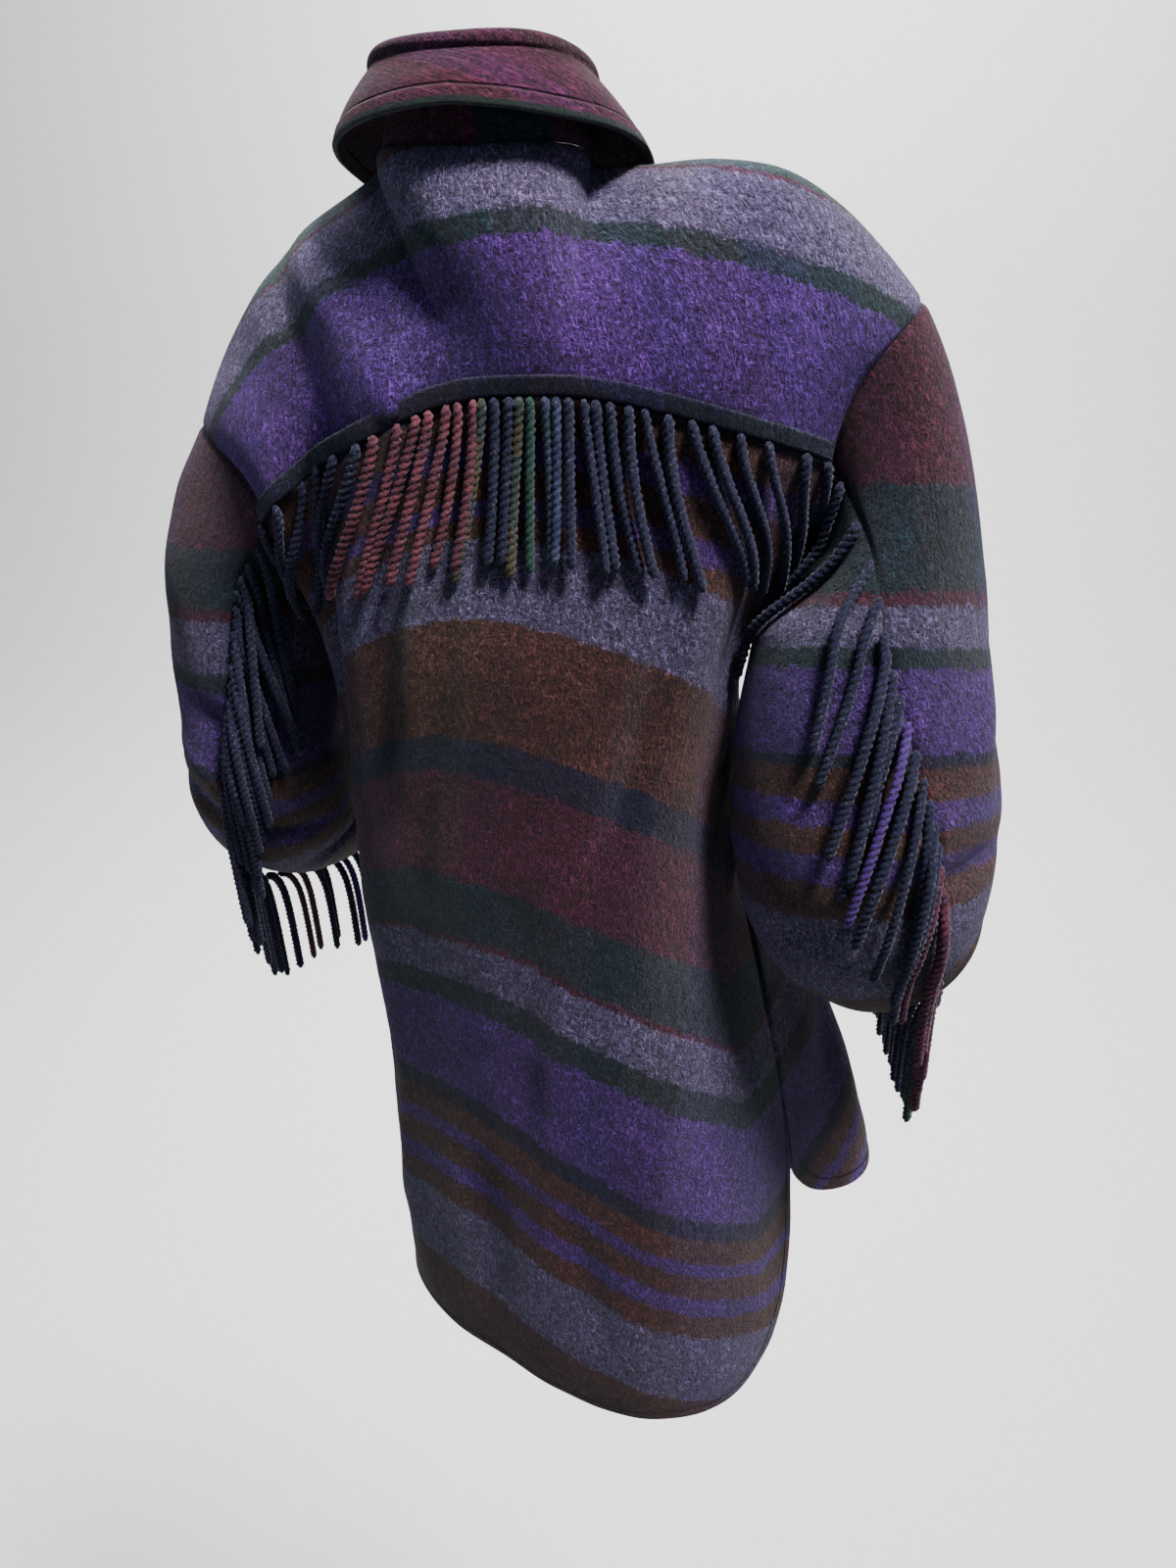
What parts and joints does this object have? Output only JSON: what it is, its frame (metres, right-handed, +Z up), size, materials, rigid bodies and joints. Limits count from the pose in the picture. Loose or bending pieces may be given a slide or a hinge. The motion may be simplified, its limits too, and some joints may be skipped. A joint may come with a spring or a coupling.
{
  "type": "shirt jacket",
  "caption": "Long loose shirt jacket in striped blanket wool, filled out as worn with nobody in it: turned-down collar, deep fringed yoke, fringed sleeve seams, curved shirt-tail hem.",
  "frame": {"origin": "in the neck opening, 18 mm to the wearer's right of its middle, level with the neck seam at the centre back", "axes": "+Z up, -Y the way the wearer faces, +X the wearer's left; the shoulders lie along X"},
  "size_m": [0.686, 0.5192, 1.0137],
  "materials": {
    "back_yoke": "brushed wool, purple with lilac, green and burgundy stripes at the neck",
    "yoke_band": "brushed wool, navy, rolled and stitched",
    "back": "brushed wool, wide stripes of brown, navy, burgundy, green, lilac and purple",
    "front_left": "brushed wool, striped as the back",
    "front_right": "brushed wool, striped as the back",
    "button_band": "brushed wool, striped as the fronts",
    "collar_stand": "brushed wool, green and navy",
    "collar_fall": "brushed wool, burgundy with a dark green edge",
    "sleeve_top_left": "brushed wool, striped across the arm",
    "sleeve_top_right": "brushed wool, striped across the arm",
    "sleeve_under_left": "brushed wool, striped across the arm",
    "sleeve_under_right": "brushed wool, striped across the arm",
    "cuff_left": "brushed wool, navy",
    "cuff_right": "brushed wool, navy",
    "pocket_left": "plain dark pocketing",
    "pocket_right": "plain dark pocketing",
    "fringe_back": "twisted wool strands, navy and brick with one green",
    "fringe_sleeve_left": "twisted wool strands, mostly navy",
    "fringe_sleeve_right": "twisted wool strands, navy and burgundy",
    "button_front_1": "dark horn look, satin",
    "button_front_2": "dark horn look, satin",
    "button_front_3": "dark horn look, satin",
    "button_front_4": "dark horn look, satin",
    "button_front_5": "dark horn look, satin",
    "button_front_6": "dark horn look, satin",
    "button_cuff_left": "dark horn look, satin",
    "button_cuff_right": "dark horn look, satin"
  },
  "bodies": {
    "root": {"back_yoke": "back_yoke", "yoke_band": "yoke_band", "back": "back", "front_left": "front_left", "front_right": "front_right", "button_band": "button_band", "collar_stand": "collar_stand", "collar_fall": "collar_fall", "sleeve_top_left": "sleeve_top_left", "sleeve_top_right": "sleeve_top_right", "sleeve_under_left": "sleeve_under_left", "sleeve_under_right": "sleeve_under_right", "cuff_left": "cuff_left", "cuff_right": "cuff_right", "pocket_left": "pocket_left", "pocket_right": "pocket_right", "fringe_back": "fringe_back", "fringe_sleeve_left": "fringe_sleeve_left", "fringe_sleeve_right": "fringe_sleeve_right", "button_front_1": "button_front_1", "button_front_2": "button_front_2", "button_front_3": "button_front_3", "button_front_4": "button_front_4", "button_front_5": "button_front_5", "button_front_6": "button_front_6", "button_cuff_left": "button_cuff_left", "button_cuff_right": "button_cuff_right"}
  },
  "joints": []
}
